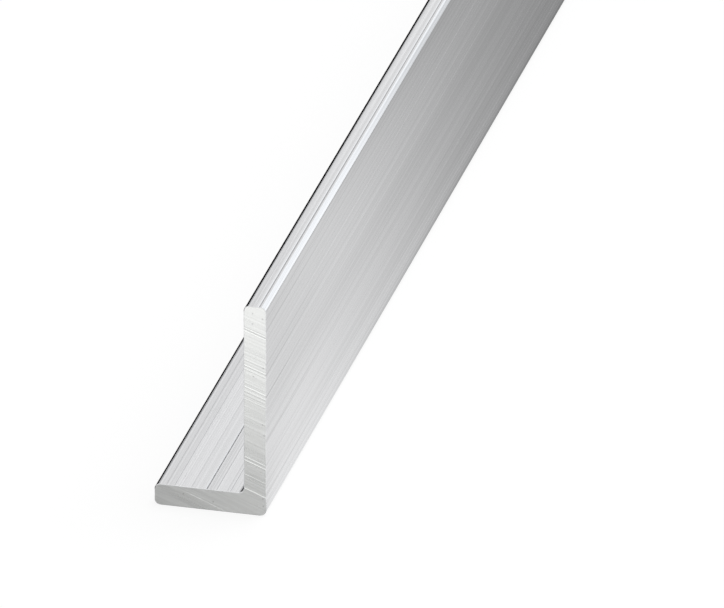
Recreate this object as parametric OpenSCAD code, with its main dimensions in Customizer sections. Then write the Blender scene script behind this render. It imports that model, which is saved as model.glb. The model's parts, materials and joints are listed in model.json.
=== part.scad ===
// Unequal-leg aluminium angle: one extruded bar of L section, sawn square at both ends.
// The bar lies along Y and stands on its foot. The foot's toe points to -X and the heel to +X.
// The origin is at the middle of the bar's footprint, at the underside of the foot.

/* [Section] */
// Width of the foot, the short leg, over the outside
foot_width = 10; // [6:0.5:60]
// Height of the upright, the long leg, over the outside
upright_height = 20; // [8:0.5:120]
// Wall of the foot
foot_wall = 2; // [1.2:0.1:5]
// Wall of the upright
upright_wall = 2; // [1.2:0.1:4]

/* [Edges] */
// Radius of the heel, the outside corner where the legs meet
heel_radius = 0.6; // [0.1:0.05:1.8]
// Radius of the two corners at the foot's toe
foot_toe_radius = 0.5; // [0.1:0.05:0.95]
// Radius of the two corners at the upright's toe
upright_toe_radius = 0.5; // [0.1:0.05:0.95]
// Radius of the root fillet in the inside corner
root_radius = 0.5; // [0.1:0.05:4]

/* [Stock] */
// Length that the bar is sawn to
bar_length = 1000; // [50:10:6000]

/* [Hidden] */
aluminium_grey = [0.80, 0.81, 0.82];
arc_steps = 64;
// A toe keeps a flat at least this share of its wall between its two corners
toe_flat_share = 0.04;
// How far a cutting shape reaches past the face it trims
overcut = 1;
// Inside faces, where the foot's top meets the upright
inside_width = foot_width - upright_wall;
inside_height = upright_height - foot_wall;
// Corners never outgrow the walls that carry them
heel_r = min(heel_radius, foot_wall, upright_wall);
foot_toe_r = min(foot_toe_radius, foot_wall * (1 - toe_flat_share) / 2);
upright_toe_r = min(upright_toe_radius, upright_wall * (1 - toe_flat_share) / 2);
root_r = min(root_radius, inside_width - foot_toe_r, inside_height - upright_toe_r);

// The sliver between a square corner at the origin and an arc of radius r that rounds it,
// with the solid on the +x, +y side. It reaches past the corner by past.
module corner_sliver(r, past) {
    difference() {
        translate([-past, -past]) square(r + past);
        translate([r, r]) circle(r, $fn = arc_steps);
    }
}

// The plain L of the two legs, with square corners: the foot's toe is at x = 0
module square_section() {
    square([foot_width, foot_wall]);
    translate([inside_width, 0]) square([upright_wall, upright_height]);
}

// The two rounded corners at the end of a leg. The leg's end is the line x = 0 from y = 0 to wall.
module toe_corners(wall, r) {
    corner_sliver(r, overcut);
    translate([0, wall]) mirror([0, 1]) corner_sliver(r, overcut);
}

// The L section: square legs, a rounded heel, two rounded toes and the root fillet
module angle_section() {
    difference() {
        square_section();
        translate([foot_width, 0]) mirror([1, 0]) corner_sliver(heel_r, overcut);
        toe_corners(foot_wall, foot_toe_r);
        translate([foot_width, upright_height]) rotate(-90)
            mirror([0, 1]) toe_corners(upright_wall, upright_toe_r);
    }
    translate([inside_width, foot_wall]) mirror([1, 0]) corner_sliver(root_r, 0);
}

// The bar: the section drawn in X and Z, extruded along Y
module angle_profile() {
    color(aluminium_grey)
        translate([-foot_width / 2, bar_length / 2, 0])
            rotate([90, 0, 0])
                linear_extrude(bar_length) angle_section();
}

angle_profile();
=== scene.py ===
import json
import math
import bmesh
import bpy
import numpy as np
from mathutils import Matrix, Vector


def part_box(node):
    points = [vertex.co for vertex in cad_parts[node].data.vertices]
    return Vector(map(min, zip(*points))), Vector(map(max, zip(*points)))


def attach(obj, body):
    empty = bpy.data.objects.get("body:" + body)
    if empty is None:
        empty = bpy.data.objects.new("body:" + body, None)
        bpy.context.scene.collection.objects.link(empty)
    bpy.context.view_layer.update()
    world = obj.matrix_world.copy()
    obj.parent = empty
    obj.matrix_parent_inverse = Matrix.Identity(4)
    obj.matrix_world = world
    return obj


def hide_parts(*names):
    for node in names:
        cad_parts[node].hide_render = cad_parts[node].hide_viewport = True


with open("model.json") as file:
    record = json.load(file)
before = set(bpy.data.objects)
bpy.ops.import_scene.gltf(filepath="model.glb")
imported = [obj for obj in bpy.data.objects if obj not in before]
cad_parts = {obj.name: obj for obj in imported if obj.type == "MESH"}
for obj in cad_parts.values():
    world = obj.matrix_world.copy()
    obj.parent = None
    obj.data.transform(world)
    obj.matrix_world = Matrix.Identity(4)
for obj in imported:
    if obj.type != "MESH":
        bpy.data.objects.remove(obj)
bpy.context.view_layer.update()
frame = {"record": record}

mm = 0.001
barNode = "angle_profile"
barLow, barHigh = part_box(barNode)
mountAt = {mount["name"]: mount["pos_m"] for mount in frame["record"]["mounts"]}
footWall = mountAt["foot_inside"][2] - barLow.z
uprightWall = barHigh.x - mountAt["upright_inside"][0]
innerFace = barHigh.x - uprightWall    # the upright's face above the foot
front = barLow.y                       # the sawn end that faces the camera
white = (1.0, 1.0, 1.0)


# Node helpers

def feed(tree, node, key, value):
    socket = node.inputs[key]
    if isinstance(value, bpy.types.NodeSocket):
        tree.links.new(value, socket)
    elif socket.type == "RGBA" and len(value) == 3:
        socket.default_value = (*value, 1.0)
    else:
        socket.default_value = value


def addNode(tree, kind, feeds=None, **settings):
    node = tree.nodes.new(kind)
    for name, value in settings.items():
        setattr(node, name, value)
    for key, value in (feeds or {}).items():
        feed(tree, node, key, value)
    return node


def calc(tree, operation, a, b=0.0, c=0.0):
    return addNode(tree, "ShaderNodeMath", {0: a, 1: b, 2: c}, operation=operation).outputs[0]


def vec(tree, x=0.0, y=0.0, z=0.0):
    return addNode(tree, "ShaderNodeCombineXYZ", {0: x, 1: y, 2: z}).outputs[0]


def vecCalc(tree, operation, a, b):
    second = "Scale" if operation == "SCALE" else 1
    return addNode(tree, "ShaderNodeVectorMath", {0: a, second: b}, operation=operation).outputs[0]


def split(tree, vector):
    return addNode(tree, "ShaderNodeSeparateXYZ", {0: vector}).outputs


def ramp(tree, value, fromMin, fromMax, toMin, toMax, smooth=True):
    kind = "SMOOTHSTEP" if smooth else "LINEAR"
    feeds = {"Value": value, "From Min": fromMin, "From Max": fromMax, "To Min": toMin, "To Max": toMax}
    return addNode(tree, "ShaderNodeMapRange", feeds, interpolation_type=kind).outputs["Result"]


def blendTone(tree, share, a, b):
    return addNode(tree, "ShaderNodeMix", {0: share, 2: a, 3: b}, data_type="FLOAT").outputs[0]


def newMaterial(name):
    material = bpy.data.materials.new(name)
    material.use_nodes = True
    tree = material.node_tree
    tree.nodes.clear()
    out = addNode(tree, "ShaderNodeOutputMaterial")
    return material, tree, out.inputs["Surface"]


# Shared shader effect: fine lines that run along the vector's Y, as a value round zero

grainNoise = {"Scale": 1.0, "Detail": 3.0, "Roughness": 0.65}
noiseMiddle = 0.5


def makeLineGrain():
    tree = bpy.data.node_groups.new("lineGrain", "ShaderNodeTree")
    for name, kind in (("Vector", "NodeSocketVector"), ("Line Width", "NodeSocketFloat"),
                       ("Line Length", "NodeSocketFloat"), ("Shift", "NodeSocketFloat")):
        tree.interface.new_socket(name, in_out="INPUT", socket_type=kind)
    tree.interface.new_socket("Grain", in_out="OUTPUT", socket_type="NodeSocketFloat")
    given = addNode(tree, "NodeGroupInput").outputs
    across = calc(tree, "DIVIDE", 1.0, given["Line Width"])
    along = calc(tree, "DIVIDE", 1.0, given["Line Length"])
    stretched = vecCalc(tree, "MULTIPLY", given["Vector"], vec(tree, across, along, across))
    shifted = vecCalc(tree, "ADD", stretched, vec(tree, given["Shift"], given["Shift"], given["Shift"]))
    noise = addNode(tree, "ShaderNodeTexNoise", {"Vector": shifted, **grainNoise})
    addNode(tree, "NodeGroupOutput", {"Grain": calc(tree, "SUBTRACT", noise.outputs[0], noiseMiddle)})
    return tree


grainGroup = makeLineGrain()


def lineGrain(tree, vector, width, length, shift):
    feeds = {"Vector": vector, "Line Width": width, "Line Length": length, "Shift": shift}
    return addNode(tree, "ShaderNodeGroup", feeds, node_tree=grainGroup).outputs["Grain"]


def lineMask(tree, vector, line, limits):
    return ramp(tree, lineGrain(tree, vector, *line), *limits, 0.0, 1.0)


def layGrain(tree, vector, layers, roughness):
    tone = 1.0
    gloss = roughness
    height = 0.0
    for width, length, shift, toneShare, glossShare, depth in layers:
        grain = lineGrain(tree, vector, width, length, shift)
        tone = calc(tree, "MULTIPLY_ADD", grain, toneShare, tone)
        gloss = calc(tree, "MULTIPLY_ADD", grain, glossShare, gloss)
        height = calc(tree, "MULTIPLY_ADD", grain, depth, height)
    return tone, gloss, height


def metalShader(tree, surface, colour, tone, gloss, height):
    bump = addNode(tree, "ShaderNodeBump", {"Height": height, "Strength": 1.0, "Distance": 1.0})
    shader = addNode(tree, "ShaderNodeBsdfPrincipled", {
        "Base Color": vecCalc(tree, "SCALE", colour, tone), "Metallic": 1.0,
        "Roughness": gloss, "Normal": bump.outputs[0]})
    tree.links.new(shader.outputs[0], surface)


# The extruded skin

skinFinish = {
    "colour": (0.755, 0.758, 0.77),
    "roughness": 0.17,
    "streaks": (                # width, length, shift, tone, roughness, height
        (0.09 * mm, 150 * mm, 3.1, 0.50, 0.25, 0.004 * mm),
        (0.34 * mm, 400 * mm, 11.7, 0.55, 0.20, 0.012 * mm),
        (2.40 * mm, 900 * mm, 23.9, 0.30, 0.10, 0.024 * mm),
    ),
    "scuffLine": (0.08 * mm, 15 * mm, 7.7),    # width, length, shift
    "scuffLineLimits": (0.08, 0.22),           # grain at which a line starts to show, and shows in full
    "scuffPatch": (6 * mm, 24 * mm, 41.3),
    "scuffPatchLimits": (0.0, 0.14),
    "scuffAngle": 4.0,          # degrees off the length
    "scuffTone": 0.12,
    "scuffRoughness": 0.16,
    "drawnLine": (0.42 * mm, 70 * mm, 57.9),   # dark lines, strongest near the sawn ends
    "drawnLineLimits": (0.05, 0.18),
    "drawnReach": (26 * mm, 13 * mm),
    "drawnTone": (0.05, 0.26),
    "drawnSide": (-0.4 * mm, -0.1 * mm),       # from the inner face: none on the foot, all on the upright
}


def makeSkin():
    material, tree, surface = newMaterial("extrudedSkin")
    place = addNode(tree, "ShaderNodeTexCoord").outputs["Object"]
    tone, gloss, height = layGrain(tree, place, skinFinish["streaks"], skinFinish["roughness"])

    # Handling scuffs: patches of short fine lines a little off the length
    scuffTurn = math.radians(skinFinish["scuffAngle"])
    turned = addNode(tree, "ShaderNodeVectorRotate", {"Vector": place, "Angle": scuffTurn},
                     rotation_type="X_AXIS").outputs[0]
    lines = lineMask(tree, turned, skinFinish["scuffLine"], skinFinish["scuffLineLimits"])
    patch = lineMask(tree, place, skinFinish["scuffPatch"], skinFinish["scuffPatchLimits"])
    scuff = calc(tree, "MULTIPLY", lines, patch)
    tone = calc(tree, "MULTIPLY_ADD", scuff, -skinFinish["scuffTone"], tone)
    gloss = calc(tree, "MULTIPLY_ADD", scuff, skinFinish["scuffRoughness"], gloss)

    # Dark lines drawn where the upright was pushed along the saw's fence
    x, y = split(tree, place)[:2]
    toEnd = calc(tree, "SUBTRACT", barHigh.y, calc(tree, "ABSOLUTE", y))
    strength = ramp(tree, toEnd, *skinFinish["drawnReach"], *skinFinish["drawnTone"])
    offFoot, onUpright = (innerFace + side for side in skinFinish["drawnSide"])
    strength = calc(tree, "MULTIPLY", strength, ramp(tree, x, offFoot, onUpright, 0.0, 1.0))
    drawn = lineMask(tree, place, skinFinish["drawnLine"], skinFinish["drawnLineLimits"])
    tone = calc(tree, "SUBTRACT", tone, calc(tree, "MULTIPLY", drawn, strength))
    metalShader(tree, surface, skinFinish["colour"], tone, gloss, height)
    return material


# How the bar was sawn off: the marks are arcs round the blade's centre

saw = {
    "angle": 20.9,              # degrees, how the marks fall towards the heel half way up the upright
    "bladeRadius": 200 * mm,
    "feed": 0.28 * mm,          # travel from one stroke to the next
    "stepsPerFeed": 8,          # mesh rows for each stroke
    "depth": 0.008 * mm,
    "strokeStart": 0.35,        # depth at which each stroke starts, as a share
    "farEndStrokes": 500,       # sets the far end's random strokes apart from the front's
    "reach": 27 * mm,           # size of the sawn patch, larger than the section
    "sweepSteps": 41,           # mesh columns along a stroke
    "strongCuts": (             # height on the upright, share of strongDepth: ridges, or grooves below zero
        (18.70 * mm, -0.22),
        (17.60 * mm, -0.7),
        (17.35 * mm, -0.95),
        (14.53 * mm, 0.45),
        (13.96 * mm, 0.7),
        (13.62 * mm, 0.4),
        (12.32 * mm, 0.35),
        (11.90 * mm, 0.8),
        (11.50 * mm, 0.45),
        (11.14 * mm, 0.35),
        (10.75 * mm, 0.35),
        (9.10 * mm, 0.2),
        (6.80 * mm, 0.12),
        (5.15 * mm, 0.8),
        (4.83 * mm, 0.65),
        (3.45 * mm, 0.5),
        (3.13 * mm, 0.25),
        (2.10 * mm, 0.8),
    ),
    "strongDepth": 0.028 * mm,
    "strongWidth": (0.05 * mm, 0.10 * mm),   # the steep side below, the gentle side above
    "scratch": ((-3.20 * mm, 1.99 * mm), (1.43 * mm, 0.05 * mm)),   # x and z of its ends, on the front foot
    "scratchDepth": 0.018 * mm,
    "scratchWidth": (0.065 * mm, 0.03 * mm),
    "scratchFade": 0.3 * mm,
    "farEndShift": -1.3 * mm,   # the other end was cut in another stroke
    "seed": 21,
}
uprightMiddle = barHigh.x - uprightWall / 2
sawLean = math.radians(saw["angle"])
bladeCentre = Vector((uprightMiddle, 0.0, (barLow.z + barHigh.z) / 2))
bladeCentre -= Vector((math.sin(sawLean), 0.0, math.cos(sawLean))) * saw["bladeRadius"]


# The sawn ends

cutFinish = {
    "colour": (0.856, 0.864, 0.852),
    "roughness": 0.33,
    "grain": (                  # width, length, shift, tone, roughness, height
        (0.06 * mm, 5 * mm, 5.3, 0.30, 0.30, 0.0025 * mm),
        (0.22 * mm, 12 * mm, 17.1, 0.22, 0.20, 0.005 * mm),
    ),
    "speckCell": 0.9 * mm,      # room for one speck
    "speckSize": 0.12 * mm,
    "speckShare": 0.18,         # how many of the cells hold one
    "speckShift": 7.7 * mm,     # moves the pattern
    "speckTone": 0.68,
}


def makeCut():
    material, tree, surface = newMaterial("sawnEnd")
    place = addNode(tree, "ShaderNodeTexCoord").outputs["Object"]
    x, y, z = split(tree, vecCalc(tree, "SUBTRACT", place, tuple(bladeCentre)))
    radius = calc(tree, "SQRT", calc(tree, "MULTIPLY_ADD", x, x, calc(tree, "MULTIPLY", z, z)))
    turn = calc(tree, "MULTIPLY", calc(tree, "ARCTAN2", x, z), saw["bladeRadius"])
    alongCut = vec(tree, radius, turn, y)
    tone, gloss, height = layGrain(tree, alongCut, cutFinish["grain"], cutFinish["roughness"])

    # A few dark specks where chips were pressed in; Y sets the two ends apart
    flat = vec(tree, x, calc(tree, "ADD", calc(tree, "ADD", y, z), cutFinish["speckShift"]))
    cell = addNode(tree, "ShaderNodeTexVoronoi", {"Vector": flat, "Scale": 1.0 / cutFinish["speckCell"]},
                   voronoi_dimensions="2D")
    reach = cutFinish["speckSize"] / cutFinish["speckCell"]
    near = ramp(tree, cell.outputs["Distance"], 0.0, reach, 1.0, 0.0)
    chosen = addNode(tree, "ShaderNodeSeparateColor", {0: cell.outputs["Color"]}).outputs[0]
    speck = calc(tree, "MULTIPLY", near, calc(tree, "LESS_THAN", chosen, cutFinish["speckShare"]))
    tone = calc(tree, "MULTIPLY_ADD", speck, cutFinish["speckTone"] - 1.0, tone)
    metalShader(tree, surface, cutFinish["colour"], tone, gloss, height)
    return material


skinMaterial = makeSkin()
cutMaterial = makeCut()
print("finishes made: skin and sawn end")


# The bar: a section swept along Y, then sawn to length

bar = {
    "heelRadius": 0.6 * mm,
    "footToeRadius": 0.5 * mm,
    "uprightToeRadius": 0.5 * mm,
    "rootRadius": 0.5 * mm,
    "arcPoints": 24,
    "pointSpacing": 0.03 * mm,
    "edgeBreak": 0.05 * mm,
    "rimMerge": 0.001 * mm,     # points closer than this on the sawn rim become one
    "waveDepth": 0.013 * mm,    # the die's slow waviness round the section
    "waveWidth": 0.9 * mm,
    "waveNoise": {"Scale": 1.0, "Detail": 2.0, "Roughness": 0.6},
    "lineDepth": 0.010 * mm,    # its fine lines, each with its own depth
    "lineWidth": 0.05 * mm,
    "linePitch": 0.6 * mm,
    "linePlay": (0.8, 0.1),     # where a line lies in its pitch: random spread, start
    "lineRarity": 3.0,          # power on the random depth, which leaves few lines deep
    "sharpAngle": 20.0,         # degrees from which an edge is shaded sharp
    "deepLines": (              # face, place on it from the toe's side or the floor, half width, depth
        ("foot", 4.65 * mm, 0.08 * mm, 0.034 * mm),
        ("foot", 0.93 * mm, 0.10 * mm, 0.008 * mm),
        ("foot", 3.25 * mm, 0.09 * mm, 0.010 * mm),
        ("foot", 5.45 * mm, 0.10 * mm, 0.009 * mm),
        ("foot", 6.45 * mm, 0.12 * mm, 0.007 * mm),
        ("top", 8.92 * mm, 0.13 * mm, 0.010 * mm),
        ("top", 9.34 * mm, 0.11 * mm, 0.022 * mm),
        ("outer", 1.50 * mm, 0.12 * mm, 0.012 * mm),
        ("outer", 6.65 * mm, 0.10 * mm, 0.010 * mm),
        ("outer", 8.85 * mm, 0.10 * mm, 0.006 * mm),
        ("inner", 7.40 * mm, 0.10 * mm, 0.010 * mm),
        ("inner", 13.1 * mm, 0.08 * mm, 0.012 * mm),
    ),
    "seed": 7,
}


def pickByIndex(tree, dataType, choices):
    node = addNode(tree, "GeometryNodeIndexSwitch", data_type=dataType)
    while len(node.index_switch_items) < len(choices):
        node.index_switch_items.new()
    tree.links.new(addNode(tree, "GeometryNodeInputIndex").outputs[0], node.inputs[0])
    for i, choice in enumerate(choices):
        tree.links.new(choice, node.inputs[i + 1])
    return node.outputs[0]


def randomOf(tree, number, seed):
    whole = addNode(tree, "FunctionNodeFloatToInt", {0: number}).outputs[0]
    chance = addNode(tree, "FunctionNodeRandomValue", {"ID": whole, "Seed": seed}, data_type="FLOAT")
    return chance.outputs[1]


def sectionCurve(tree, size):
    halfWidth = calc(tree, "MULTIPLY", size["Foot Width"], 0.5)
    toeX = calc(tree, "MULTIPLY", halfWidth, -1.0)
    insideX = calc(tree, "SUBTRACT", halfWidth, size["Upright Wall"])
    topY = calc(tree, "MULTIPLY", size["Upright Height"], -1.0)   # the sweep turns the profile's -Y up
    footY = calc(tree, "MULTIPLY", size["Foot Wall"], -1.0)
    corners = [
        vec(tree, toeX, 0.0), vec(tree, toeX, footY), vec(tree, insideX, footY),
        vec(tree, insideX, topY), vec(tree, halfWidth, topY), vec(tree, halfWidth, 0.0),
    ]
    radii = [size["Foot Toe Radius"], size["Foot Toe Radius"], size["Root Radius"],
             size["Upright Toe Radius"], size["Upright Toe Radius"], size["Heel Radius"]]
    ring = addNode(tree, "GeometryNodeCurvePrimitiveCircle", {"Resolution": len(corners)}, mode="RADIUS")
    square = addNode(tree, "GeometryNodeSetPosition", {
        "Geometry": ring.outputs[0], "Position": pickByIndex(tree, "VECTOR", corners)})
    rounded = addNode(tree, "GeometryNodeFilletCurve", {
        "Curve": square.outputs[0], "Count": size["Arc Points"], "Limit Radius": True,
        "Radius": pickByIndex(tree, "FLOAT", radii)}, mode="POLY")
    return addNode(tree, "GeometryNodeResampleCurve", {
        "Curve": rounded.outputs[0], "Length": size["Point Spacing"]}, mode="LENGTH").outputs[0]


def barPath(tree, size):
    # Four stations: the end ones lie past the saw cut and are drawn in, which leaves a broken edge there
    halfLength = calc(tree, "MULTIPLY", size["Length"], 0.5)
    outer = calc(tree, "ADD", halfLength, size["Edge Break"])
    inner = calc(tree, "SUBTRACT", halfLength, size["Edge Break"])
    stations = [vec(tree, 0.0, calc(tree, "MULTIPLY", y, side), 0.0)
                for y, side in ((outer, -1.0), (inner, -1.0), (inner, 1.0), (outer, 1.0))]
    line = addNode(tree, "GeometryNodeCurvePrimitiveLine", {"Start": (0, -1, 0), "End": (0, 1, 0)})
    four = addNode(tree, "GeometryNodeResampleCurve", {
        "Curve": line.outputs[0], "Count": len(stations)}, mode="COUNT")
    path = addNode(tree, "GeometryNodeSetPosition", {
        "Geometry": four.outputs[0], "Position": pickByIndex(tree, "VECTOR", stations)})
    ends = addNode(tree, "GeometryNodeCurveEndpointSelection", {"Start Size": 1, "End Size": 1})
    keep = addNode(tree, "GeometryNodeCaptureAttribute", {"Geometry": path.outputs[0]})
    keep.capture_items.new("FLOAT", "atEnd")
    tree.links.new(ends.outputs[0], keep.inputs[1])
    return keep.outputs[0], keep.outputs[1]


def dieRelief(tree, size, around):
    # A slow waviness, then fine lines of random depth, then the few deep lines that are listed
    waveAt = calc(tree, "ADD", calc(tree, "DIVIDE", around, size["Wave Width"]), size["Seed"])
    wave = addNode(tree, "ShaderNodeTexNoise", {"W": waveAt, **bar["waveNoise"]},
                   noise_dimensions="1D").outputs[0]
    relief = calc(tree, "MULTIPLY", calc(tree, "SUBTRACT", wave, noiseMiddle), size["Wave Depth"])
    lineAt = calc(tree, "DIVIDE", around, size["Line Pitch"])
    lineId = calc(tree, "FLOOR", lineAt)
    middle = calc(tree, "MULTIPLY_ADD", randomOf(tree, lineId, bar["seed"]), *bar["linePlay"])
    away = calc(tree, "ABSOLUTE", calc(tree, "SUBTRACT", calc(tree, "FRACT", lineAt), middle))
    away = calc(tree, "MULTIPLY", away, size["Line Pitch"])
    depth = calc(tree, "POWER", randomOf(tree, lineId, bar["seed"] + 1), bar["lineRarity"])
    depth = calc(tree, "MULTIPLY", depth, size["Line Depth"])
    relief = calc(tree, "SUBTRACT", relief, ramp(tree, away, 0.0, size["Line Width"], depth, 0.0))
    place = addNode(tree, "GeometryNodeInputPosition").outputs[0]
    for face, at, halfWidth, deep in bar["deepLines"]:
        spot = {"foot": (barLow.x + at, 0.0, footWall), "top": (barLow.x + at, 0.0, barHigh.z),
                "outer": (barHigh.x, 0.0, at), "inner": (innerFace, 0.0, at)}[face]
        inSection = vecCalc(tree, "MULTIPLY", vecCalc(tree, "SUBTRACT", place, spot), (1.0, 0.0, 1.0))
        away = addNode(tree, "ShaderNodeVectorMath", {0: inSection}, operation="LENGTH").outputs["Value"]
        relief = calc(tree, "SUBTRACT", relief, ramp(tree, away, 0.0, halfWidth, deep, 0.0, smooth=False))
    return relief


def sweptBar(tree, size):
    keep = addNode(tree, "GeometryNodeCaptureAttribute", {"Geometry": sectionCurve(tree, size)})
    keep.capture_items.new("FLOAT", "around")
    keep.capture_items.new("VECTOR", "tangent")
    tree.links.new(addNode(tree, "GeometryNodeSplineParameter").outputs["Length"], keep.inputs[1])
    tree.links.new(addNode(tree, "GeometryNodeInputTangent").outputs[0], keep.inputs[2])
    around, tangent = keep.outputs[1], keep.outputs[2]
    path, atEnd = barPath(tree, size)
    sweep = addNode(tree, "GeometryNodeCurveToMesh", {
        "Curve": path, "Profile Curve": keep.outputs[0], "Fill Caps": True})
    drawnIn = calc(tree, "MULTIPLY", atEnd, calc(tree, "MULTIPLY", size["Edge Break"], 2.0))   # 45 degrees
    lift = calc(tree, "SUBTRACT", dieRelief(tree, size, around), drawnIn)
    tx, ty = split(tree, tangent)[:2]
    offset = vecCalc(tree, "SCALE", vec(tree, ty, 0.0, tx), lift)   # along the outward normal
    lined = addNode(tree, "GeometryNodeSetPosition", {"Geometry": sweep.outputs[0], "Offset": offset})
    return addNode(tree, "GeometryNodeStoreNamedAttribute", {
        "Geometry": lined.outputs[0], "Name": "around", "Value": around},
        data_type="FLOAT", domain="POINT").outputs[0]


def slantLine(tree, away, below, above):
    # A line with two sloping sides of their own widths
    lower = ramp(tree, away, -below, 0.0, 0.0, 1.0, smooth=False)
    upper = ramp(tree, away, 0.0, above, 1.0, 0.0, smooth=False)
    return calc(tree, "MINIMUM", lower, upper)


def sawBlock(tree, size):
    steps = round(saw["reach"] / saw["feed"]) * saw["stepsPerFeed"] + 1
    block = addNode(tree, "GeometryNodeMeshCube", {
        "Size": vec(tree, saw["reach"], size["Length"], saw["reach"]),
        "Vertices X": saw["sweepSteps"], "Vertices Y": 2, "Vertices Z": steps})
    along, end, across = split(tree, addNode(tree, "GeometryNodeInputPosition").outputs[0])
    side = calc(tree, "SIGN", end)

    # Each stroke of the blade leaves a small slope of its own
    strokes = calc(tree, "DIVIDE", across, size["Saw Feed"])
    strokeId = calc(tree, "MULTIPLY_ADD", side, saw["farEndStrokes"], calc(tree, "FLOOR", strokes))
    lean = calc(tree, "SUBTRACT", randomOf(tree, strokeId, saw["seed"]), saw["strokeStart"])
    slope = calc(tree, "MULTIPLY_ADD", lean, calc(tree, "FRACT", strokes), saw["strokeStart"])
    deep = calc(tree, "MULTIPLY", slope, size["Saw Depth"])

    # The strong cuts, ridges and grooves
    row = calc(tree, "MULTIPLY_ADD", calc(tree, "MAXIMUM", side, 0.0), -saw["farEndShift"], across)
    for height, share in saw["strongCuts"]:
        cutRow = math.hypot(uprightMiddle - bladeCentre.x, height - bladeCentre.z) - saw["bladeRadius"]
        ridge = slantLine(tree, calc(tree, "SUBTRACT", row, cutRow), *saw["strongWidth"])
        deep = calc(tree, "MULTIPLY_ADD", ridge, -saw["strongDepth"] * share, deep)

    # The rows become arcs round the blade's centre
    radius = calc(tree, "ADD", across, size["Blade Radius"])
    turn = calc(tree, "ADD", calc(tree, "DIVIDE", along, size["Blade Radius"]), sawLean)
    x = calc(tree, "MULTIPLY_ADD", radius, calc(tree, "SINE", turn), bladeCentre.x)
    z = calc(tree, "MULTIPLY_ADD", radius, calc(tree, "COSINE", turn), bladeCentre.z)

    # One stray scratch over the foot of the front end
    (x0, z0), (x1, z1) = saw["scratch"]
    fall = (z1 - z0) / (x1 - x0)
    away = calc(tree, "SUBTRACT", z, calc(tree, "MULTIPLY_ADD", x, fall, z0 - fall * x0))
    groove = slantLine(tree, away, *saw["scratchWidth"])
    fadeIn = ramp(tree, x, x0 - saw["scratchFade"], x0 + saw["scratchFade"], 0.0, 1.0)
    groove = calc(tree, "MULTIPLY", groove, fadeIn)
    groove = calc(tree, "MULTIPLY", groove, calc(tree, "LESS_THAN", side, 0.0))
    deep = calc(tree, "MULTIPLY_ADD", groove, saw["scratchDepth"], deep)
    cutY = calc(tree, "SUBTRACT", end, calc(tree, "MULTIPLY", side, deep))
    cut = addNode(tree, "GeometryNodeSetPosition", {
        "Geometry": block.outputs[0], "Position": vec(tree, x, cutY, z)})
    return addNode(tree, "GeometryNodeStoreNamedAttribute", {
        "Geometry": cut.outputs[0], "Name": "sawn", "Value": True},
        data_type="BOOLEAN", domain="FACE").outputs[0]


def barTree(values):
    tree = bpy.data.node_groups.new("extrudeAndSaw", "GeometryNodeTree")
    sockets = {name: tree.interface.new_socket(name, in_out="INPUT", socket_type=kind)
               for name, kind, _ in values}
    tree.interface.new_socket("Geometry", in_out="OUTPUT", socket_type="NodeSocketGeometry")
    size = addNode(tree, "NodeGroupInput").outputs
    both = addNode(tree, "GeometryNodeMeshBoolean", operation="INTERSECT", solver="MANIFOLD")
    tree.links.new(sweptBar(tree, size), both.inputs["Mesh 2"])
    tree.links.new(sawBlock(tree, size), both.inputs["Mesh 2"])
    whole = addNode(tree, "GeometryNodeRealizeInstances", {"Geometry": both.outputs[0]})
    sawn = addNode(tree, "GeometryNodeInputNamedAttribute", {"Name": "sawn"}, data_type="BOOLEAN")
    skin = addNode(tree, "GeometryNodeSetMaterial", {
        "Geometry": whole.outputs[0], "Material": size["Skin"]})
    cut = addNode(tree, "GeometryNodeSetMaterial", {
        "Geometry": skin.outputs[0], "Selection": sawn.outputs[0], "Material": size["Cut"]})
    addNode(tree, "NodeGroupOutput", {0: cut.outputs[0]})
    return tree, sockets


def readMesh(items, key, width=1, kind=np.float32):
    values = np.empty(len(items) * width, kind)
    items.foreach_get(key, values)
    return values.reshape(-1, width) if width > 1 else values


bakeMap = {             # the skin unrolled over the lower part, the two sawn ends side by side above it
    "skinWidth": 0.998,
    "skinUp": (0.002, 0.738),       # start, size
    "endAcross": (0.005, 0.485),
    "endUp": (0.76, 0.235),
    "farEndShift": 0.505,
    "searchParts": 40,              # the search for near points runs in parts, to spare memory
}


def writeBakeMap(mesh):
    points = readMesh(mesh.vertices, "co", 3)
    around = readMesh(mesh.attributes["around"].data, "value")
    corner = readMesh(mesh.loops, "vertex_index", kind=np.int32)
    faceSize = readMesh(mesh.polygons, "loop_total", kind=np.int32)
    faceOf = np.repeat(np.arange(len(faceSize)), faceSize)
    sawn = readMesh(mesh.attributes["sawn"].data, "value", kind=bool)[faceOf]

    # Points made by the cut take their place round the section from the nearest swept point
    ring = np.flatnonzero(np.abs(points[:, 1] - (front + bar["edgeBreak"])) < bar["rimMerge"])
    perimeter = around[ring].max() + bar["pointSpacing"]
    flat = points[:, [0, 2]]
    for part in np.array_split(np.unique(corner[~sawn]), bakeMap["searchParts"]):
        gap = flat[part][:, None, :] - flat[ring][None, :, :]
        around[part] = around[ring[(gap ** 2).sum(axis=2).argmin(axis=1)]]
    u = around[corner] / perimeter
    highest = np.zeros(len(faceSize), np.float32)
    np.maximum.at(highest, faceOf, u)
    u[(highest[faceOf] - u) > 0.5] += 1.0      # faces over the seam stay in one piece
    x, y, z = ((points[corner] - np.array(barLow)) / np.array(barHigh - barLow)).T
    far = y > 0.5
    endU, endWidth = bakeMap["endAcross"]
    endV, endHeight = bakeMap["endUp"]
    skinV, skinHeight = bakeMap["skinUp"]
    u = np.where(sawn, endU + endWidth * z + bakeMap["farEndShift"] * far, u * bakeMap["skinWidth"])
    v = np.where(sawn, endV + endHeight * np.where(far, x, 1.0 - x), skinV + skinHeight * y)
    uvMap = mesh.uv_layers.new(name="OFBake")
    uvMap.data.foreach_set("uv", np.stack((u, v), axis=1).clip(0.0, 1.0).astype(np.float32).ravel())


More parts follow.
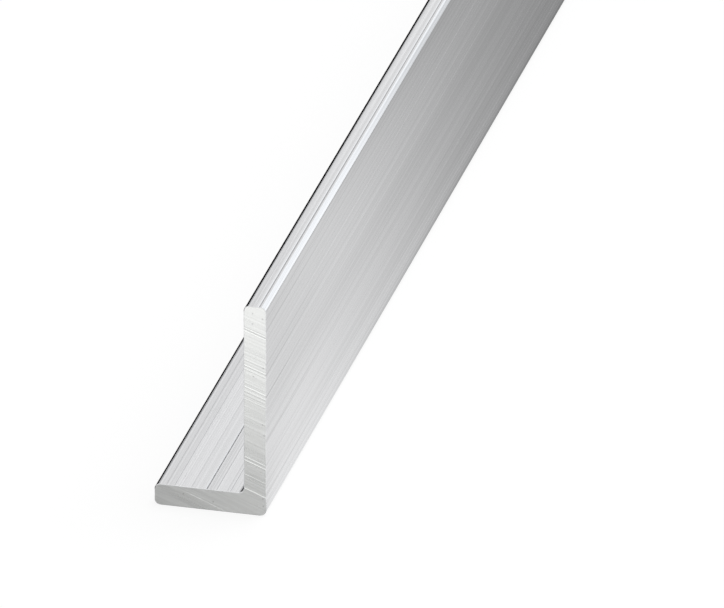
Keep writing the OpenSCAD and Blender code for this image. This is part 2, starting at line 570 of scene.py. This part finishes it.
def cleanRim(mesh):
    work = bmesh.new()
    work.from_mesh(mesh)
    bmesh.ops.remove_doubles(work, verts=work.verts, dist=bar["rimMerge"])

    # Skin faces on the rim become fans from a swept point, and no diagonal of theirs lies in the sawn face
    skinSlot = mesh.materials.find(skinMaterial.name)
    for face in [face for face in work.faces if face.material_index == skinSlot and len(face.verts) > 4]:
        ring = list(face.verts)
        hub = ring.index(min(ring, key=lambda point: abs(point.co.y)))
        ring = ring[hub:] + ring[:hub]
        work.faces.remove(face)
        for i in range(1, len(ring) - 1):
            work.faces.new((ring[0], ring[i], ring[i + 1]))
    work.to_mesh(mesh)
    work.free()


def makeBar():
    number = "NodeSocketFloat"
    values = (
        ("Foot Width", number, barHigh.x - barLow.x),
        ("Upright Height", number, barHigh.z - barLow.z),
        ("Length", number, barHigh.y - barLow.y),
        ("Foot Wall", number, footWall),
        ("Upright Wall", number, uprightWall),
        ("Heel Radius", number, bar["heelRadius"]),
        ("Foot Toe Radius", number, bar["footToeRadius"]),
        ("Upright Toe Radius", number, bar["uprightToeRadius"]),
        ("Root Radius", number, bar["rootRadius"]),
        ("Arc Points", "NodeSocketInt", bar["arcPoints"]),
        ("Point Spacing", number, bar["pointSpacing"]),
        ("Edge Break", number, bar["edgeBreak"]),
        ("Wave Depth", number, bar["waveDepth"]),
        ("Wave Width", number, bar["waveWidth"]),
        ("Line Depth", number, bar["lineDepth"]),
        ("Line Width", number, bar["lineWidth"]),
        ("Line Pitch", number, bar["linePitch"]),
        ("Seed", "NodeSocketInt", bar["seed"]),
        ("Saw Feed", number, saw["feed"]),
        ("Saw Depth", number, saw["depth"]),
        ("Blade Radius", number, saw["bladeRadius"]),
        ("Skin", "NodeSocketMaterial", skinMaterial),
        ("Cut", "NodeSocketMaterial", cutMaterial),
    )
    tree, sockets = barTree(values)
    source = bpy.data.objects.new("barSource", bpy.data.meshes.new("barSource"))
    bpy.context.scene.collection.objects.link(source)
    modifier = source.modifiers.new("extrudeAndSaw", "NODES")
    modifier.node_group = tree
    for name, _, value in values:
        modifier[sockets[name].identifier] = value
    graph = bpy.context.evaluated_depsgraph_get()
    mesh = bpy.data.meshes.new_from_object(source.evaluated_get(graph))
    bpy.data.objects.remove(source)
    mesh.name = "angleBar"
    cleanRim(mesh)
    mesh.shade_smooth()
    mesh.set_sharp_from_angle(angle=math.radians(bar["sharpAngle"]))
    writeBakeMap(mesh)
    piece = bpy.data.objects.new("angleBar", mesh)
    bpy.context.scene.collection.objects.link(piece)
    print("bar swept and sawn:", len(mesh.vertices), "points,", len(mesh.polygons), "faces")
    return piece


angleBar = makeBar()
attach(angleBar, "root")
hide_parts(barNode)


# Camera, from the photo's fitted view

shot = {
    "azimuth": 14.139,
    "elevation": 25.558,
    "roll": -0.0506,
    "focalPixels": 23424.0,
    "imageWidth": 724,
    "sensorWidth": 36.0,
    "clip": (0.05, 50.0),
    "wallPixels": 23.0665,                     # pixels for one wall thickness at the front end
    "frontCornerPixel": (-207.465, 199.987),   # foot's toe at the sawn end, from the image's middle
}


def makeCamera():
    yaw, pitch, roll = (math.radians(shot[k]) for k in ("azimuth", "elevation", "roll"))
    forward = Vector((-math.sin(yaw) * math.cos(pitch), math.cos(yaw) * math.cos(pitch), -math.sin(pitch)))
    right = Vector((math.cos(yaw), math.sin(yaw), 0.0))
    down = forward.cross(right)
    imageX = right * math.cos(roll) + down * math.sin(roll)
    imageY = down * math.cos(roll) - right * math.sin(roll)
    pixel = footWall / shot["wallPixels"]
    dx, dy = shot["frontCornerPixel"]
    place = Vector(barLow) - (imageX * dx + imageY * dy + forward * shot["focalPixels"]) * pixel
    data = bpy.data.cameras.new("camera")
    data.sensor_width = shot["sensorWidth"]
    data.lens = shot["focalPixels"] / shot["imageWidth"] * shot["sensorWidth"]
    data.clip_start, data.clip_end = shot["clip"]
    camera = bpy.data.objects.new("camera", data)
    turn = Matrix((imageX, -imageY, -forward)).transposed()
    camera.matrix_world = Matrix.Translation(place) @ turn.to_4x4()
    bpy.context.scene.collection.objects.link(camera)
    bpy.context.scene.camera = camera


makeCamera()
print("camera placed")


# Floor and light

studio = {
    "floorSize": 8.0,
    "floorGap": 0.02 * mm,              # keeps the floor clear of the foot
    "floorColour": (0.18, 0.18, 0.18),
    "floorGlow": 0.83,
    "ambient": 0.55,
    "sunStrength": 1.6,
    "sunAngle": 50.0,
    "sunTilt": (-20.0, 20.0),
    "cardDistance": 1.6,
    "edgeCardTint": (0.98, 1.0, 1.02),
}
cards = {               # in degrees from the front end: azimuth from, to, elevation from, to; then the tone
    "stripLight": (-3.0, 24.0, 20.0, 38.0, (1.22, 1.25, 1.28)),
    "paleCard": (-19.0, -9.0, 13.0, 40.0, (0.945, 0.945, 0.945)),
    "blackFlag": (-38.0, -13.0, -8.0, 12.0, (0.0, 0.0, 0.0)),
    "greyFlag": (-48.0, -19.0, 14.0, 40.0, (0.48, 0.48, 0.49)),
    "frontLight": (160.0, 230.0, 0.0, 16.0, (1.3, 1.31, 1.3)),
    "frontGrey": (158.0, 202.0, 17.0, 45.0, (0.62, 0.62, 0.63)),
}
# Thin cards, each along one edge of the bar: the edge's x and z, the card's shift in x and reach in z,
# its tone at the front and further back, and the mm behind the front between which it fades
edgeCards = {
    "footEdgeFlag": ((barLow.x, footWall), (-0.1 * mm, -0.6 * mm, 0.22 * mm), (0.0, 0.3), (36, 90)),
    "uprightEdgeFlag": ((innerFace, barHigh.z), (-0.1 * mm, -0.6 * mm, 0.22 * mm), (0.0, 0.3), (75, 150)),
    "topEdgeLight": ((barHigh.x, barHigh.z), (0.15 * mm, -0.38 * mm, 0.6 * mm), (1.27, 0.91), (20, 62)),
}
overCard = {"height": 1.6, "halfWidth": 0.6, "halfLength": 0.9, "tone": (0.75, 0.75, 0.75)}
floorCard = {           # painted tones of a card laid round the bar and seen only in the metal: painted shade close to and beneath the bar, painted light along it and ahead of it; at places in mm behind the front end or across
    "edge": (350, 240),              # past the bar: all white from, painted up to
    "under": 0.08,
    "open": 0.72,
    "near": 0.93,
    "nearFall": (0.124, 0, 50),      # amount, from, to
    "farFall": (0.36, 42, 118),
    "recovery": (0.274, 140, 420),
    "heelShade": (0.30, 20, 80),
    "heelShadeWidth": (4, 17),
    "contact": (0.35, 10, 60),
    "contactWidth": (5.0, 5.7),
    "shoulder": (0.10, 62, 36),
    "shoulderSlope": (0.13, 0.25),   # across for each mm along
    "ahead": (0.40, 0.97, -1, 37),   # tone close in, tone further out, from, to
    "aheadRight": 0.14,
    "aheadGlow": (0.26, 44, 72),
    "aheadSides": (-22, -12, 5.5, 9),   # across: fade in from, to, fade out from, to
    "aheadBlend": (0.0, 0.6),
}


def seenOrMirrored(tree):
    path = addNode(tree, "ShaderNodeLightPath").outputs
    seen = calc(tree, "ADD", path["Is Camera Ray"], path["Is Glossy Ray"])
    return calc(tree, "ADD", seen, path["Is Transmission Ray"])


def makeWorld():
    world = bpy.data.worlds.new("studio")
    bpy.context.scene.world = world
    world.use_nodes = True
    tree = world.node_tree
    tree.nodes.clear()
    out = addNode(tree, "ShaderNodeOutputWorld")
    strength = blendTone(tree, seenOrMirrored(tree), studio["ambient"], 1.0)
    light = addNode(tree, "ShaderNodeBackground", {"Color": white, "Strength": strength})
    tree.links.new(light.outputs[0], out.inputs[0])


def addFlat(name, corners, material):
    mesh = bpy.data.meshes.new(name)
    mesh.from_pydata(corners, [], [(0, 1, 2, 3)])
    mesh.materials.append(material)
    flat = bpy.data.objects.new(name, mesh)
    bpy.context.scene.collection.objects.link(flat)
    return flat


def flatCorners(left, right, near, far, z):
    return [(left, near, z), (right, near, z), (right, far, z), (left, far, z)]


def makeFloor():
    material, tree, surface = newMaterial("paleFloor")
    matt = addNode(tree, "ShaderNodeBsdfDiffuse", {"Color": studio["floorColour"]})
    glow = addNode(tree, "ShaderNodeEmission", {
        "Strength": calc(tree, "MULTIPLY", seenOrMirrored(tree), studio["floorGlow"])})
    both = addNode(tree, "ShaderNodeAddShader", {0: matt.outputs[0], 1: glow.outputs[0]})
    tree.links.new(both.outputs[0], surface)
    half = studio["floorSize"] / 2
    addFlat("floor", flatCorners(-half, half, -half, half, barLow.z - studio["floorGap"]), material)


def addCard(name, corners, tint, paint=None):
    material, tree, surface = newMaterial(name)
    strength = paint(tree) if paint else 1.0
    glow = addNode(tree, "ShaderNodeEmission", {"Color": tint, "Strength": strength})
    tree.links.new(glow.outputs[0], surface)
    card = addFlat(name, corners, material)
    for ray in ("camera", "diffuse", "transmission", "shadow"):   # the cards only show in the metal
        setattr(card, "visible_" + ray, False)


def behindFront(tree):
    # The place in mm, with Y counted from the front end
    place = addNode(tree, "ShaderNodeTexCoord").outputs["Object"]
    fromFront = vecCalc(tree, "SUBTRACT", place, (0.0, front, 0.0))
    return split(tree, vecCalc(tree, "SCALE", fromFront, 1 / mm))


def paintFloorCard(tree):
    tone = floorCard
    x, y = behindFront(tree)[:2]
    footSpan = (barLow.x / mm, barHigh.x / mm)

    # Right of the heel: painted light that falls slowly along the bar, and painted shade close in
    right = tone["near"]
    for key, sign in (("nearFall", -1), ("farFall", -1), ("recovery", 1)):
        amount, start, stop = tone[key]
        right = calc(tree, "ADD", right, ramp(tree, y, start, stop, 0.0, sign * amount))
    across = calc(tree, "SUBTRACT", x, barHigh.x / mm)
    slope = calc(tree, "DIVIDE", across, calc(tree, "MAXIMUM", y, 1.0))   # never by zero
    for key, share in (("heelShade", ramp(tree, x, *tone["heelShadeWidth"], 1.0, 0.0)),
                       ("contact", ramp(tree, x, *tone["contactWidth"], 1.0, 0.0)),
                       ("shoulder", ramp(tree, slope, *tone["shoulderSlope"], 0.0, 1.0))):
        amount, start, stop = tone[key]
        shade = calc(tree, "MULTIPLY", ramp(tree, y, start, stop, 0.0, amount), share)
        right = calc(tree, "MULTIPLY", right, calc(tree, "SUBTRACT", 1.0, shade))
    sides = blendTone(tree, ramp(tree, x, *footSpan, 0.0, 1.0), tone["open"], right)

    # In front of the sawn end: painted shade close in, above all to the left, and a painted pool of light a
    # little way out
    nearTone, farTone, start, stop = tone["ahead"]
    out = calc(tree, "MULTIPLY", y, -1.0)
    closeIn = ramp(tree, x, *footSpan, nearTone, nearTone + tone["aheadRight"], smooth=False)
    ahead = ramp(tree, out, start, stop, closeIn, farTone)
    leftOut, leftIn, rightIn, rightOut = tone["aheadSides"]
    within = calc(tree, "MULTIPLY", ramp(tree, x, leftOut, leftIn, 0.0, 1.0),
                  ramp(tree, x, rightIn, rightOut, 1.0, 0.0))
    ahead = blendTone(tree, within, farTone, ahead)
    glow, start, stop = tone["aheadGlow"]
    ahead = calc(tree, "ADD", ahead, ramp(tree, out, start, stop, 0.0, glow))
    painted = blendTone(tree, ramp(tree, y, *tone["aheadBlend"], 1.0, 0.0), sides, ahead)

    # Painted shade right beneath the bar, and white again towards the card's own edges
    pastEnd = calc(tree, "MAXIMUM", out, calc(tree, "SUBTRACT", y, (barHigh.y - barLow.y) / mm))
    aside = calc(tree, "ABSOLUTE", x)
    under = calc(tree, "MULTIPLY", calc(tree, "LESS_THAN", pastEnd, 0.0),
                 calc(tree, "LESS_THAN", aside, (barHigh.x - bar["heelRadius"]) / mm))
    painted = blendTone(tree, under, painted, tone["under"])
    past = calc(tree, "MAXIMUM", pastEnd, aside)
    return blendTone(tree, ramp(tree, past, *tone["edge"], 0.0, 1.0), 1.0, painted)


def makeCards():
    middle = Vector(((barLow.x + barHigh.x) / 2, front, barHigh.z))
    for name, (azFrom, azTo, elFrom, elTo, tone) in cards.items():
        corners = []
        for azimuth, elevation in ((azFrom, elFrom), (azTo, elFrom), (azTo, elTo), (azFrom, elTo)):
            az, el = math.radians(azimuth), math.radians(elevation)
            aim = Vector((math.sin(az), math.cos(az), math.tan(el)))
            corners.append(middle + aim * studio["cardDistance"])
        addCard(name, corners, tone)
    for name, ((edgeX, edgeZ), (aside, below, above), tones, fade) in edgeCards.items():
        x, low, high = edgeX + aside, edgeZ + below, edgeZ + above
        corners = [(x, front, low), (x, barHigh.y, low), (x, barHigh.y, high), (x, front, high)]
        addCard(name, corners, studio["edgeCardTint"],
                lambda tree: ramp(tree, behindFront(tree)["Y"], *fade, *tones))
    wide, far = overCard["halfWidth"], overCard["halfLength"]
    addCard("overCard", flatCorners(-wide, wide, -far, far, overCard["height"]), overCard["tone"])
    reach = floorCard["edge"][0] * mm
    height = barLow.z - studio["floorGap"] / 2
    corners = flatCorners(-reach, reach, front - reach, barHigh.y + reach, height)
    # The floor card glows with painted shade and painted light, and only the metal sees it
    addCard("floorCard", corners, white, paintFloorCard)


def makeSun():
    data = bpy.data.lights.new("softKey", "SUN")
    data.energy = studio["sunStrength"]
    data.angle = math.radians(studio["sunAngle"])
    sun = bpy.data.objects.new("softKey", data)
    sun.rotation_euler = (*(math.radians(a) for a in studio["sunTilt"]), 0.0)
    sun.visible_glossy = False
    bpy.context.scene.collection.objects.link(sun)


makeWorld()
makeFloor()
makeCards()
makeSun()
bpy.context.scene.view_settings.view_transform = "Standard"
print("floor, cards and light made")
